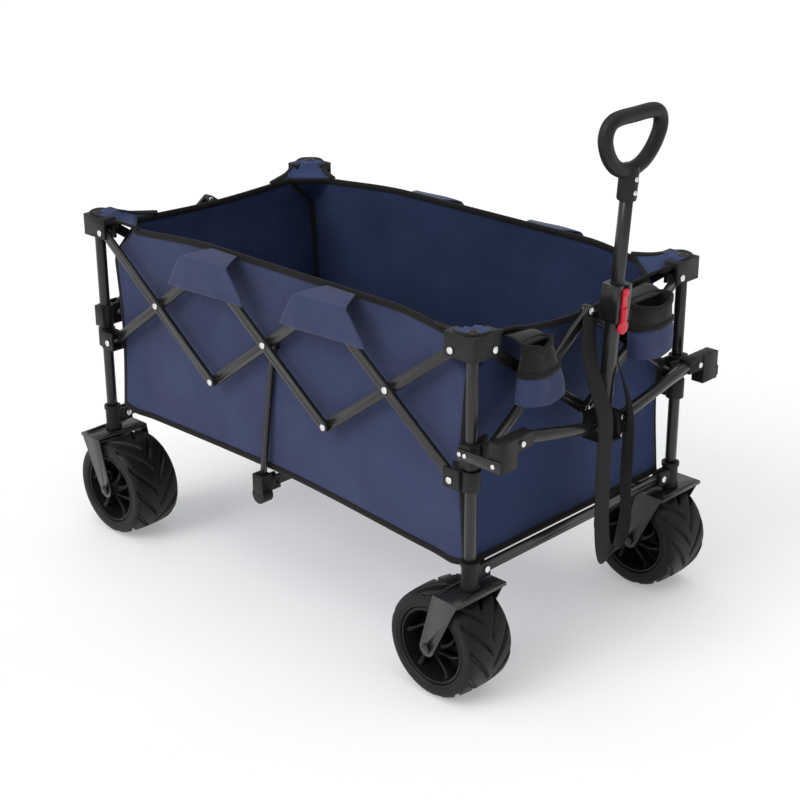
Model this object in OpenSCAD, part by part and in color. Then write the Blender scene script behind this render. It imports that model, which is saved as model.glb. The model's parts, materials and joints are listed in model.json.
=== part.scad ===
// Folding beach cart: a fabric tub hung in a scissor frame on wide soft-ground wheels.
// Millimetres. +X to the pull handle, +Z up, left is -Y. The origin is on the ground under
// the middle of the footprint.

/* [Frame] */
// Distance between the front and rear post axes
frame_length = 940; // [880:10:1000]
// Distance between the left and right post axes
frame_width = 536; // [500:4:580]
// Height of the top scissor pivots above the ground
top_pivot_z = 603; // [595:1:612]
// Height of the lower side pivots, which ride on the sliders
low_pivot_z = 386; // [380:1:392]
// Post tube diameter
post_d = 20; // [20:1:20]
// Width of a scissor bar
bar_w = 18; // [14:1:20]
// Thickness of a scissor bar
bar_t = 7; // [6:0.5:7]

/* [Wheels] */
// Tyre diameter
tyre_d = 190; // [170:2:190]
// Tyre width
tyre_w = 102; // [90:2:104]
// Horizontal offset of the axle from the caster stem
caster_trail = 40; // [30:1:44]

/* [Tub] */
// Height of the tub floor's top face above the ground
floor_z = 245; // [243:1:250]
// Height of the tub rim at the corners
rim_z = 632; // [620:1:636]
// Thickness of the tub fabric
fabric_t = 3; // [2:0.5:3]

/* [Handle] */
// Lean of the handle from upright, in degrees
handle_lean = 4; // [0:1:6]
// Length of the outer handle tube
outer_tube_l = 215; // [200:5:240]

/* [Hidden] */
$fn = 48;

navy = "#36426b";
black = "#222224";
steel = "#2c2a2a";
silver = "#d8d8d8";
red = "#c8323c";

// The handle overhangs the front more than the wheels overhang the rear
centre_shift = -23;
front_x = frame_length / 2 + centre_shift;
rear_x = -frame_length / 2 + centre_shift;
side_y = frame_width / 2;
left = -1;
right = 1;

// Scissors: three units along each side and two across each end
lug_offset = 28;
side_span = (frame_length - 2 * lug_offset) / 3;
end_span = side_y - lug_offset;
end_low_z = 433;
side_drop = top_pivot_z - low_pivot_z;
end_drop = top_pivot_z - end_low_z;
first_pivot_x = rear_x + lug_offset;
rivet_r = 3;
bore_r = 3.05;
rivet_head_r = 6;
rivet_head_t = 2;
// Bar layers, measured outwards from the post axis
inner_layer = 2.5;
outer_layer = 10.5;
lug_out = 20;
lug_in = 8;
slot_out = 15.5;
slot_in = 2.5;
slot_start = 17;
lug_end = 42;
fit = 0.05;

post_low_z = 222;
post_top_z = 618;
socket_low_z = 198;
socket_top_z = 246;
cap_low_z = 592;
cap_top_z = 632;
stem_r = 6;
stem_l = 20;

tyre_r = tyre_d / 2;
axle_r = 5;
hub_r = 67;
fork_leg_y = 55;
fork_t = 3;
floor_bar_z = 223;

tub_half_l = frame_length / 2 - 18;
tub_half_w = side_y - 22;
tub_low_z = 242;

leg_y = side_y - 10;
leg_r = 6;
leg_x = first_pivot_x + 1.5 * side_span;
foot_top_z = 232;
foot_low_z = 176;
leg_lean = 40;
foot_x = leg_x - leg_lean;

pivot_x = front_x + 47;
pivot_z = 418;
block_half = 24;
tube_r = 12.5;
inner_r = 11;
cross_r = 10;
// The folding crossbar hangs in a shallow V between two arms in front of the posts
cross_x = front_x + 62;
cross_end_z = 463;
cross_mid_z = pivot_z + 3;
arm_near = 50;
arm_far = 74;
arm_end = 63;
plate_in = 16;
plate_t = 4;
plate_low_z = 428;
plate_top_z = 446;
tube_gap = 30;
inner_start = 105;
inner_l = 300;

// ---- building blocks -------------------------------------------------------------------

// A slab from corner a to corner b
module slab(a, b) {
    translate(a) cube(b - a);
}

// A straight round bar between two points
module rod(a, b, r) {
    d = b - a;
    len = norm(d);
    translate(a)
        rotate([0, acos(d[2] / len), atan2(d[1], d[0])])
            cylinder(r = r, h = len);
}

// Places children at a corner: local +x points inwards along the length, +y inwards across
module at_corner(x, side) {
    inward = x > centre_shift ? -1 : 1;
    translate([x, side * side_y, 0])
        mirror([inward < 0 ? 1 : 0, 0, 0])
            mirror([0, side > 0 ? 1 : 0, 0])
                children();
}

module both_corners(x) {
    for (side = [left, right]) at_corner(x, side) children();
}

// Swaps the length and width directions of a corner piece
module across() {
    mirror([1, -1, 0]) children();
}

// Flat bar with a rivet hole at each end and in the middle, lying in the XZ plane from a to b
module flat_bar(a, b, layer) {
    dx = b[0] - a[0];
    dz = b[1] - a[1];
    len = norm([dx, dz]);
    translate([a[0], -layer + bar_t / 2, a[1]])
        rotate([0, -atan2(dz, dx), 0])
            rotate([90, 0, 0])
                linear_extrude(height = bar_t)
                    difference() {
                        union() {
                            translate([0, -bar_w / 2]) square([len, bar_w]);
                            for (x = [0, len]) translate([x, 0]) circle(d = bar_w);
                        }
                        for (x = [0, len / 2, len]) translate([x, 0]) circle(r = bore_r);
                    }
}

// Rivet along Y through two layers: from y_in to y_out, heads outside both
module rivet(x, z, y_out, y_in) {
    translate([x, -y_out - 0.3 - rivet_head_t, z]) rotate([-90, 0, 0]) {
        cylinder(r = rivet_head_r, h = rivet_head_t);
        cylinder(r = rivet_r, h = y_out - y_in + 0.6 + 2 * rivet_head_t);
        translate([0, 0, y_out - y_in + 0.6 + rivet_head_t]) cylinder(r = rivet_head_r, h = rivet_head_t);
    }
}

// Side scissor work is drawn once, measured from the post axis, and mirrored to both sides
module both_sides() {
    for (side = [left, right])
        mirror([0, side > 0 ? 1 : 0, 0]) translate([0, -side_y, 0]) children();
}

function top_x(unit) = first_pivot_x + unit * side_span;

outer_face = outer_layer + bar_t / 2;
inner_face = inner_layer - bar_t / 2;

// ---- corner fittings -------------------------------------------------------------------

module post() {
    translate([0, 0, post_low_z]) difference() {
        cylinder(d = post_d, h = post_top_z - post_low_z);
        translate([0, 0, -1]) cylinder(d = post_d - 3, h = post_top_z - post_low_z + 2);
    }
}

// Arm that carries a bar end in a slot between two cheeks
module lug(low_z, top_z) {
    slab([8, -lug_out, low_z], [lug_end, lug_in, top_z]);
}

module lug_slot(low_z, top_z) {
    slab([slot_start, -slot_out, low_z], [lug_end + 20, slot_in, top_z]);
}

module lug_bore(z) {
    translate([lug_offset, -lug_out - 1, z]) rotate([-90, 0, 0]) cylinder(r = bore_r, h = lug_out + lug_in + 2);
}

module cap() {
    difference() {
        union() {
            slab([-lug_out, -lug_out, cap_low_z], [14, 14, cap_top_z]);
            lug(cap_low_z, cap_top_z);
            across() lug(cap_low_z, cap_top_z);
            translate([0, 0, cap_top_z]) cylinder(r = 5, h = 4);
        }
        translate([0, 0, cap_low_z - 1]) cylinder(r = post_d / 2 + fit, h = post_top_z + 2 - cap_low_z);
        lug_slot(cap_low_z - 1, top_pivot_z + 16);
        across() lug_slot(cap_low_z - 1, top_pivot_z + 16);
        lug_bore(top_pivot_z);
        across() lug_bore(top_pivot_z);
    }
}

module slider() {
    low = low_pivot_z - 14;
    top = low_pivot_z + 20;
    difference() {
        union() {
            translate([0, 0, low]) cylinder(r = 16, h = top - low);
            lug(low, top);
        }
        translate([0, 0, low - 1]) cylinder(r = post_d / 2 + fit, h = top - low + 2);
        lug_slot(low_pivot_z - 10, top + 1);
        lug_bore(low_pivot_z);
    }
}

// Fixed bracket that holds the low end of the end bars, with a flat pad for the front plate
module bracket() {
    low = 412;
    top = 452;
    difference() {
        union() {
            translate([0, 0, low]) cylinder(r = 15, h = top - low);
            across() lug(low, top);
            slab([-12, -plate_in, low], [12, 0, top]);
        }
        translate([0, 0, low - 1]) cylinder(r = post_d / 2 + fit, h = top - low + 2);
        across() lug_slot(end_low_z - 10, top + 1);
        across() lug_bore(end_low_z);
    }
}

// Arm in front of a front post, which carries one end of the folding crossbar
module crossbar_arm() {
    difference() {
        union() {
            slab([-arm_far, -plate_in, 424], [-arm_near, 25, 474]);
            slab([-arm_far + 2, 20, 450], [-arm_near, arm_end, 474]);
        }
        translate([-arm_near - 12, 36, cross_end_z - 2]) rotate([0, 90, 0])
            cylinder(r = bore_r, h = 60, center = true);
    }
}

// Steel strap along the outside of a front bracket, out to the crossbar's arm
module arm_plate() {
    slab([-arm_far, -plate_in - plate_t, plate_low_z], [12, -plate_in, plate_top_z]);
}

module plate_rivets() {
    z = (plate_low_z + plate_top_z) / 2;
    for (x = [-arm_far + 12, -4, 7]) translate([x, -plate_in - plate_t - 2, z]) rotate([-90, 0, 0])
        cylinder(r = 4, h = 2);
    translate([-arm_far - 2, 36, cross_end_z - 2]) rotate([0, 90, 0]) {
        cylinder(r = 5, h = 2);
        cylinder(r = rivet_r, h = arm_far - arm_near + 4);
    }
}

module socket() {
    difference() {
        union() {
            translate([0, 0, socket_low_z]) cylinder(r = 14, h = socket_top_z - socket_low_z);
            for (z = [socket_low_z, socket_top_z - 7]) translate([0, 0, z]) cylinder(r = 16, h = 7);
            slab([-9, 10, floor_bar_z - 13], [9, 40, floor_bar_z + 13]);
        }
        translate([0, 0, post_low_z]) cylinder(r = post_d / 2 + fit, h = 40);
        translate([0, 0, socket_low_z - 1]) cylinder(r = stem_r + fit, h = stem_l + 2);
        slab([-4, 20, floor_bar_z - 10], [4, 50, floor_bar_z + 14]);
        translate([-10, 31, floor_bar_z]) rotate([0, 90, 0]) cylinder(r = bore_r, h = 20);
    }
}

// Cross rail under the tub from socket to socket
module floor_bar(x, z, half_l, hole_y) {
    difference() {
        slab([x - 3.5, -half_l, z - 9], [x + 3.5, half_l, z + 9]);
        for (side = [left, right])
            translate([x - 5, side * hole_y, z]) rotate([0, 90, 0]) cylinder(r = bore_r, h = 10);
    }
}

// ---- end scissors ----------------------------------------------------------------------

// The four bars of one end, drawn along X from the left post and turned across the cart
module end_bars(x) {
    far = 2 * end_span;
    facing = x > centre_shift ? 1 : -1;
    translate([x, -end_span, 0]) mirror([facing < 0 ? 1 : 0, 0, 0]) rotate([0, 0, 90]) {
        flat_bar([0, end_low_z], [end_span, top_pivot_z], outer_layer);
        flat_bar([0, top_pivot_z], [end_span, end_low_z], inner_layer);
        flat_bar([end_span, top_pivot_z], [far, end_low_z], inner_layer);
        flat_bar([end_span, end_low_z], [far, top_pivot_z], outer_layer);
    }
}

module end_rivets(x) {
    far = 2 * end_span;
    mid_z = (top_pivot_z + end_low_z) / 2;
    facing = x > centre_shift ? 1 : -1;
    translate([x, -end_span, 0]) mirror([facing < 0 ? 1 : 0, 0, 0]) rotate([0, 0, 90]) {
        for (s = [0, far]) for (z = [top_pivot_z, end_low_z]) rivet(s, z, lug_out, -lug_in);
        for (s = [end_span / 2, 1.5 * end_span]) rivet(s, mid_z, outer_face, inner_face);
        for (z = [top_pivot_z, end_low_z]) rivet(end_span, z, outer_face, inner_face);
    }
}

module socket_rivets(x) {
    for (side = [left, right]) translate([x, side * (side_y - 31), floor_bar_z])
        rotate([0, 0, 90]) rivet(0, 0, 9, -9);
}

// ---- side scissors ---------------------------------------------------------------------

module falling_bar(unit, layer) {
    both_sides() flat_bar([top_x(unit), top_pivot_z], [top_x(unit + 1), low_pivot_z], layer);
}

module rising_bar(unit, layer) {
    both_sides() flat_bar([top_x(unit), low_pivot_z], [top_x(unit + 1), top_pivot_z], layer);
}

module side_rivet(unit, z, y_out, y_in) {
    both_sides() rivet(top_x(unit), z, y_out, y_in);
}

mid_pivot_z = (top_pivot_z + low_pivot_z) / 2;
leg_inner_face = -10 - leg_r;

// ---- centre legs -----------------------------------------------------------------------

module centre_leg() {
    y = side_y - leg_y;
    difference() {
        union() {
            rod([foot_x, y, foot_top_z - 12], [leg_x, y, mid_pivot_z], leg_r);
            slab([leg_x - 9, y - leg_r, mid_pivot_z - 12], [leg_x + 9, y + leg_r, mid_pivot_z + 10]);
        }
        translate([leg_x, y - 10, mid_pivot_z]) rotate([-90, 0, 0]) cylinder(r = bore_r, h = 20);
    }
}

module centre_foot() {
    y = side_y - leg_y;
    difference() {
        union() {
            slab([foot_x - 15, y - 12, foot_low_z + 20], [foot_x + 11, y + 12, foot_top_z]);
            translate([foot_x - 2, y + 11, foot_low_z + 16]) rotate([90, 0, 0]) cylinder(r = 16, h = 22);
            slab([foot_x - 9, y + 12, floor_bar_z - 25], [foot_x + 9, y + 34, floor_bar_z + 1]);
        }
        rod([foot_x, y, foot_top_z - 12 - fit], [leg_x, y, mid_pivot_z], leg_r + fit);
        slab([foot_x - 4, y + 15, floor_bar_z - 22], [foot_x + 4, y + 50, floor_bar_z + 2]);
        translate([foot_x - 10, y + 25, floor_bar_z - 12]) rotate([0, 90, 0]) cylinder(r = bore_r, h = 20);
    }
}

// ---- casters ---------------------------------------------------------------------------

function trail(x) = x > centre_shift ? -caster_trail : caster_trail;

module fork(x, side) {
    t = trail(x);
    dir = t > 0 ? 1 : -1;
    translate([x, side * side_y, 0]) difference() {
        union() {
            slab([-28, -fork_leg_y - fork_t, socket_low_z - 5], [28, fork_leg_y + fork_t, socket_low_z - 1]);
            for (x = [-28, 25])
                slab([x, -fork_leg_y - fork_t, socket_low_z - 7], [x + 3, fork_leg_y + fork_t, socket_low_z - 1]);
            translate([0, 0, socket_low_z - 5]) cylinder(r = stem_r, h = stem_l + 5);
            for (s = [left, right])
                translate([0, s * (fork_leg_y + fork_t / 2) + fork_t / 2, 0])
                    rotate([90, 0, 0])
                        linear_extrude(height = fork_t) {
                            polygon([
                                [-dir * 26, socket_low_z - 2], [dir * 28, socket_low_z - 2],
                                [t + dir * 15, tyre_r + 4], [t - dir * 14, tyre_r - 6]
                            ]);
                            translate([t, tyre_r]) circle(r = 15.4);
                        }
        }
        translate([t, -80, tyre_r]) rotate([-90, 0, 0]) cylinder(r = axle_r + fit, h = 160);
    }
}

module axle(x, side) {
    half = fork_leg_y + fork_t + 0.3;
    translate([x + trail(x), side * side_y - half, tyre_r]) rotate([-90, 0, 0]) {
        cylinder(r = axle_r, h = 2 * half);
        translate([0, 0, -5]) cylinder(r = 9, h = 5, $fn = 6);
        translate([0, 0, 2 * half]) cylinder(r = 9, h = 5, $fn = 6);
    }
}

module wheel_place(x, side) {
    translate([x + trail(x), side * side_y, tyre_r]) rotate([-90, 0, 0]) children();
}

module hub() {
    half = tyre_w / 2;
    difference() {
        union() {
            rotate_extrude() polygon([
                [hub_r - 6, -half + 6], [hub_r, -half + 6], [hub_r, half - 6], [hub_r - 6, half - 6]
            ]);
            cylinder(r = 13, h = 2 * half + 4, center = true);
            cylinder(r = hub_r - 3, h = 6, center = true);
            for (k = [0 : 5]) rotate([0, 0, 60 * k])
                slab([10, -4, -half + 18], [hub_r - 3, 4, half - 18]);
        }
        cylinder(r = axle_r + fit, h = 4 * half, center = true);
    }
}

module tyre() {
    half = tyre_w / 2;
    rotate_extrude($fn = 96) polygon([
        [hub_r + 0.02, -half + 5], [hub_r + 3, -half], [tyre_r - 8, -half], [tyre_r - 2, -half + 8],
        [tyre_r, -half + 26], [tyre_r, half - 26], [tyre_r - 2, half - 8], [tyre_r - 8, half],
        [hub_r + 3, half], [hub_r + 0.02, half - 5]
    ]);
}

// ---- tub -------------------------------------------------------------------------------

// Side cloth: its upright edges are cut back in a hollow so that they clear the posts
module tub_side(side) {
    y = side * (tub_half_w - fabric_t / 2);
    pull = 30;
    translate([centre_shift, y + fabric_t / 2, 0]) rotate([90, 0, 0]) linear_extrude(height = fabric_t)
        polygon([
            [-tub_half_l + 8, tub_low_z], [tub_half_l - 8, tub_low_z], [tub_half_l - pull, 400],
            [tub_half_l - pull, 480], [tub_half_l - 6, 590], [tub_half_l - 6, rim_z - 4],
            [0, rim_z], [-tub_half_l + 6, rim_z - 4], [-tub_half_l + 6, 590],
            [-tub_half_l + pull, 480], [-tub_half_l + pull, 400]
        ]);
}

module tub_end(side) {
    x = centre_shift + side * (tub_half_l - fabric_t / 2);
    half = tub_half_w - fabric_t - 2;
    translate([x - fabric_t / 2, 0, 0]) rotate([90, 0, 90]) linear_extrude(height = fabric_t)
        polygon([
            [-half, tub_low_z + 6], [half, tub_low_z + 6], [half - 12, 430], [half - 2, 590],
            [half - 2, rim_z - 6], [120, rim_z - 24], [-120, rim_z - 24], [-half + 2, rim_z - 6],
            [-half + 2, 590], [-half + 12, 430]
        ]);
}

module tub_floor() {
    color(navy) slab(
        [centre_shift - tub_half_l + 5, -tub_half_w + 4, floor_z - 5],
        [centre_shift + tub_half_l - 5, tub_half_w - 4, floor_z]
    );
}

cup_x = front_x + 43;
cup_low_z = 505;
cup_top_z = 600;

// Soft cup pocket: an oval bag with an open top
module cup(y) {
    translate([cup_x, y, cup_low_z]) difference() {
        linear_extrude(height = cup_top_z - cup_low_z) {
            square([52, 56], center = true);
            for (s = [-28, 28]) translate([0, s]) circle(r = 26);
        }
        translate([0, 0, 3]) linear_extrude(height = cup_top_z - cup_low_z) {
            square([46, 56], center = true);
            for (s = [-28, 28]) translate([0, s]) circle(r = 23);
        }
    }
}

// Closing strap: two hanging runs of webbing joined at the bottom. The wide one comes down
// beside the handle.
strap_x = front_x + 82;
strap_low_z = 186;
strap_t = 2;
strap_w = 38;

// Upper stretch of the wide run, as (x, y, z) of its left edge
strap_drape = [
    [front_x + 17, -27, 596], [front_x + 31, -44, 556], [front_x + 53, -57, 508], [strap_x, -58, 452]
];

module strap_slice(p) {
    translate(p) cube([strap_t, strap_w, 4]);
}

module strap_return() {
    translate([0, 58, 0]) rotate([90, 0, 0]) linear_extrude(height = strap_w)
        polygon([
            [front_x + 17, 596], [strap_x, 456], [strap_x, strap_low_z], [strap_x + strap_t, strap_low_z],
            [strap_x + strap_t, 457], [front_x + 17, 600]
        ]);
}

module strap() {
    color(black) union() {
        for (i = [1 : len(strap_drape) - 1]) hull() {
            strap_slice(strap_drape[i - 1]);
            strap_slice(strap_drape[i]);
        }
        slab([strap_x, -58, strap_low_z], [strap_x + strap_t, strap_w - 58, 456]);
        strap_return();
        slab([strap_x, -58, strap_low_z], [strap_x + strap_t, 58, strap_low_z + 4]);
    }
}

// ---- handle ----------------------------------------------------------------------------

module crossbar() {
    color(black) for (side = [left, right])
        difference() {
            rod([cross_x, side * (side_y - arm_end + 8), cross_end_z], [cross_x, side * 20, cross_mid_z], cross_r);
            slab([cross_x - 40, -block_half, 380], [cross_x + 40, block_half, 460]);
            for (s = [left, right])
                translate([cross_x - 40, s > 0 ? side_y - arm_end - 0.3 : -side_y, 420])
                    cube([80, arm_end + 0.3, 80]);
        }
}

module handle_block() {
    color(black) difference() {
        slab([pivot_x - 22, -block_half, pivot_z - 26], [pivot_x + 26, block_half, pivot_z + 20]);
        slab([pivot_x - 14, -8, pivot_z - 16], [pivot_x + 30, 8, pivot_z + 30]);
        translate([pivot_x, -40, pivot_z]) rotate([-90, 0, 0]) cylinder(r = 4 + fit, h = 80);
        intersection() {
            slab([pivot_x, -tube_r - 0.6, pivot_z - 22], [pivot_x + 40, tube_r + 0.6, pivot_z + 40]);
            translate([pivot_x, -40, pivot_z]) rotate([-90, 0, 0]) difference() {
                cylinder(r = 60, h = 80);
                translate([0, 0, -1]) cylinder(r = tube_gap - 0.5, h = 82);
            }
        }
    }
}

// Children are drawn upright from the pivot and leaned forwards with the handle
module leaning() {
    translate([pivot_x, 0, pivot_z]) rotate([0, handle_lean, 0]) children();
}

module handle_outer() {
    color(black) leaning() {
        difference() {
            union() {
                translate([0, 0, tube_gap]) cylinder(r = tube_r, h = outer_tube_l);
                slab([-7, -7, 0], [7, 7, tube_gap + 8]);
                translate([0, -7, 0]) rotate([-90, 0, 0]) cylinder(r = 10, h = 14);
                slab([-17, -17, tube_gap + outer_tube_l - 62], [17, 17, tube_gap + outer_tube_l]);
            }
            translate([0, 0, tube_gap + 12]) cylinder(r = inner_r + fit, h = outer_tube_l + 10);
            slab([12.9, -7, tube_gap + outer_tube_l - 50], [20, 7, tube_gap + outer_tube_l + 1]);
        }
        translate([0, 0.5 - block_half, 0]) rotate([-90, 0, 0]) cylinder(r = 4, h = 2 * block_half - 1);
        translate([latch_pin_x, -12, latch_pin_z]) rotate([-90, 0, 0]) cylinder(r = latch_pin_r, h = 24);
    }
}

module handle_inner() {
    color(steel) leaning() translate([0, 0, inner_start]) difference() {
        cylinder(r = inner_r, h = inner_l);
        translate([0, 0, -1]) cylinder(r = inner_r - 1.5, h = inner_l + 2);
    }
}

grip_z = inner_start + inner_l;

// Closed grip: a rounded triangular loop, widest near its top, on a collar
module grip() {
    outer = [[-12, 18], [-78, 78], [-80, 96], [-66, 118], [-44, 126]];
    inner = [[0, 42], [-54, 80], [-58, 92], [-50, 102], [-38, 106]];
    color(black) leaning() translate([0, 0, grip_z]) {
        translate([-10, 0, 0]) rotate([90, 0, 90]) linear_extrude(height = 20)
            for (flip = [0, 1]) mirror([flip, 0]) difference() {
                polygon(concat(outer, [[0, 126], [0, 18]]));
                polygon(concat(inner, [[1, 106], [1, 42]]));
            }
        difference() {
            translate([0, 0, -22]) cylinder(r = 15, h = 48);
            translate([0, 0, -23]) cylinder(r = inner_r + fit, h = 23);
        }
    }
}

latch_z = tube_gap + outer_tube_l - 8;
latch_pin_x = 15.6;
latch_pin_z = latch_z - 2;
latch_pin_r = 1.2;

// Latch lever: hangs from a pin at its top and swings outwards at the bottom
module latch() {
    color(red) leaning() difference() {
        union() {
            translate([0, 0, latch_z]) {
                slab([14.2, -6, -34], [19.5, 6, 2]);
                slab([17.3, -6, -62], [22, 6, -30]);
                translate([17.3, 0, -62]) rotate([0, 90, 0]) cylinder(r = 11, h = 4.7);
                translate([14.2, 0, -4]) rotate([0, 90, 0]) cylinder(r = 6, h = 7);
            }
            translate([latch_pin_x, -6, latch_pin_z]) rotate([-90, 0, 0]) cylinder(r = 2.4, h = 12);
        }
        translate([latch_pin_x, -8, latch_pin_z]) rotate([-90, 0, 0]) cylinder(r = latch_pin_r + fit, h = 16);
    }
}

// ---- parts -----------------------------------------------------------------------------

module posts_rear() { color(steel) both_corners(rear_x) post(); }
module posts_front() { color(steel) both_corners(front_x) post(); }
module caps_rear() { color(black) both_corners(rear_x) cap(); }
module caps_front() { color(black) both_corners(front_x) cap(); }
module sockets_rear() { color(black) both_corners(rear_x) socket(); }
module sockets_front() { color(black) both_corners(front_x) socket(); }
module brackets_rear() { color(black) both_corners(rear_x) bracket(); }
module brackets_front() {
    color(black) {
        both_corners(front_x) bracket();
        both_corners(front_x) crossbar_arm();
    }
}
module plates_front() { color(steel) both_corners(front_x) arm_plate(); }
module sliders_rear() { color(black) both_corners(rear_x) slider(); }
module sliders_front() { color(black) both_corners(front_x) slider(); }
module end_bars_rear() { color(steel) end_bars(rear_x); }
module end_bars_front() { color(steel) end_bars(front_x); }
module floor_bar_rear() { color(steel) floor_bar(rear_x, floor_bar_z, side_y - 22, side_y - 31); }
module floor_bar_front() { color(steel) floor_bar(front_x, floor_bar_z, side_y - 22, side_y - 31); }
module floor_bar_centre() { color(steel) floor_bar(foot_x, floor_bar_z - 12, leg_y - 17, leg_y - 25); }

module rivets_rear() {
    color(silver) {
        end_rivets(rear_x);
        socket_rivets(rear_x);
        side_rivet(0, top_pivot_z, lug_out, -lug_in);
    }
}

module rivets_front() {
    color(silver) {
        end_rivets(front_x);
        socket_rivets(front_x);
        side_rivet(3, top_pivot_z, lug_out, -lug_in);
        for (z = [pivot_z - 20, pivot_z + 12])
            translate([pivot_x + 26.1, 19.4, z]) rotate([0, 90, 0]) cylinder(r = 4.5, h = 2);
        both_corners(front_x) plate_rivets();
    }
}

module side_bars_1() { color(steel) falling_bar(0, outer_layer); }
module side_bars_2() { color(steel) rising_bar(0, inner_layer); }
module side_bars_3() { color(steel) rising_bar(1, inner_layer); }
module side_bars_4() { color(steel) falling_bar(1, outer_layer); }
module side_bars_5() { color(steel) rising_bar(2, inner_layer); }
module side_bars_6() { color(steel) falling_bar(2, outer_layer); }

module rivets_bar_1() {
    color(silver) {
        side_rivet(0.5, mid_pivot_z, outer_face, inner_face);
        side_rivet(1, low_pivot_z, outer_face, inner_face);
    }
}
module rivets_bar_2() {
    color(silver) side_rivet(0, low_pivot_z, lug_out, -lug_in);
}
module rivets_bar_3() {
    color(silver) {
        side_rivet(1.5, mid_pivot_z, outer_face, leg_inner_face);
        side_rivet(2, top_pivot_z, outer_face, inner_face);
    }
}
module rivets_bar_4() {
    color(silver) {
        side_rivet(1, top_pivot_z, outer_face, inner_face);
        side_rivet(2, low_pivot_z, outer_face, inner_face);
    }
}
module rivets_bar_6() {
    color(silver) {
        side_rivet(2.5, mid_pivot_z, outer_face, inner_face);
        side_rivet(3, low_pivot_z, lug_out, -lug_in);
    }
}

module centre_legs() { color(steel) both_sides() centre_leg(); }
module centre_feet() { color(black) both_sides() centre_foot(); }

module fork_rear_left() { color(black) fork(rear_x, left); }
module fork_rear_right() { color(black) fork(rear_x, right); }
module fork_front_left() { color(black) fork(front_x, left); }
module fork_front_right() { color(black) fork(front_x, right); }
module axles_rear() { color(silver) for (side = [left, right]) axle(rear_x, side); }
module axle_front_left() { color(silver) axle(front_x, left); }
module axle_front_right() { color(silver) axle(front_x, right); }
module hub_rear_left() { color(black) wheel_place(rear_x, left) hub(); }
module hub_rear_right() { color(black) wheel_place(rear_x, right) hub(); }
module hub_front_left() { color(black) wheel_place(front_x, left) hub(); }
module hub_front_right() { color(black) wheel_place(front_x, right) hub(); }
module tyre_rear_left() { color(steel) wheel_place(rear_x, left) tyre(); }
module tyre_rear_right() { color(steel) wheel_place(rear_x, right) tyre(); }
module tyre_front_left() { color(steel) wheel_place(front_x, left) tyre(); }
module tyre_front_right() { color(steel) wheel_place(front_x, right) tyre(); }

module tub_rear() { color(navy) tub_end(-1); }
module tub_front() { color(navy) tub_end(1); }
module tub_side_left() { color(navy) tub_side(left); }
module tub_side_right() { color(navy) tub_side(right); }
module cup_left() { color(navy) cup(-158); }
module cup_right() { color(navy) cup(125); }

posts_rear();
caps_rear();
sockets_rear();
brackets_rear();
end_bars_rear();
rivets_rear();
floor_bar_rear();
fork_rear_left();
fork_rear_right();
axles_rear();
tub_rear();
tub_side_left();
tub_side_right();
tub_floor();
posts_front();
caps_front();
sockets_front();
brackets_front();
end_bars_front();
rivets_front();
floor_bar_front();
plates_front();
tub_front();
cup_left();
cup_right();
crossbar();
handle_block();
strap();
side_bars_1();
side_bars_2();
side_bars_3();
side_bars_4();
side_bars_5();
side_bars_6();
rivets_bar_1();
rivets_bar_2();
rivets_bar_3();
rivets_bar_4();
rivets_bar_6();
sliders_rear();
sliders_front();
centre_legs();
centre_feet();
floor_bar_centre();
fork_front_left();
fork_front_right();
axle_front_left();
axle_front_right();
hub_rear_left();
hub_rear_right();
hub_front_left();
hub_front_right();
tyre_rear_left();
tyre_rear_right();
tyre_front_left();
tyre_front_right();
handle_outer();
handle_inner();
grip();
latch();
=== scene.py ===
"""Looks of the folding beach cart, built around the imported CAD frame. Metres, row frame."""

import json
import math

import bmesh
import bpy
from mathutils import Matrix, Vector, noise


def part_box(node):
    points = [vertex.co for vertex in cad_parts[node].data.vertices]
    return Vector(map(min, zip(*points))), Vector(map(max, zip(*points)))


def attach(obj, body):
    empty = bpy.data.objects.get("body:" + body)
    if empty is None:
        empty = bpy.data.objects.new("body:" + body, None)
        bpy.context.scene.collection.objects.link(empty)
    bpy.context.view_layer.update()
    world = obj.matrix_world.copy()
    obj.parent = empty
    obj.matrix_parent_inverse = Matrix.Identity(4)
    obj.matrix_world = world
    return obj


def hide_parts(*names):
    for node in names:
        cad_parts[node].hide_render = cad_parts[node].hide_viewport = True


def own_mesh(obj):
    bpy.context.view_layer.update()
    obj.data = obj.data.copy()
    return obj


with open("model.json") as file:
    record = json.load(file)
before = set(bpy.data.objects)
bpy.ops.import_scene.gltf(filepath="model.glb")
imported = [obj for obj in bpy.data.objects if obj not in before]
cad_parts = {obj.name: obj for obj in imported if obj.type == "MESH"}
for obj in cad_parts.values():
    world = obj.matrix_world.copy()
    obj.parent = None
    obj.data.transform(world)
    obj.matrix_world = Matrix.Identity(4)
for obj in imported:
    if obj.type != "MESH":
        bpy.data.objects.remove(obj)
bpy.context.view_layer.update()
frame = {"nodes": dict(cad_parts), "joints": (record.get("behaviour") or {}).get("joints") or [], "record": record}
TAU = 2 * math.pi

# ---- measures taken from the frame ------------------------------------------------------

TUB_LOW, TUB_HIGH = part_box("tub_side_left")
FLOOR_LOW, FLOOR_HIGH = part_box("tub_floor")
_, END_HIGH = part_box("tub_front")
REAR_LOW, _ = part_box("tub_rear")
POST_LOW, POST_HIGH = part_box("posts_front")
_, CAP_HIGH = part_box("caps_front")

TUB_FRONT_X = END_HIGH.x
TUB_REAR_X = REAR_LOW.x
TUB_HALF_W = -TUB_LOW.y
TUB_MID_X = (TUB_FRONT_X + TUB_REAR_X) / 2
TUB_HALF_L = (TUB_FRONT_X - TUB_REAR_X) / 2
TUB_BOTTOM = TUB_LOW.z
RIM_Z = TUB_HIGH.z
POST_Y = POST_HIGH.y - 0.010
FRONT_POST_X = (POST_LOW.x + POST_HIGH.x) / 2
REAR_POST_X = sum(c.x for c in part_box("posts_rear")) / 2

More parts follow.
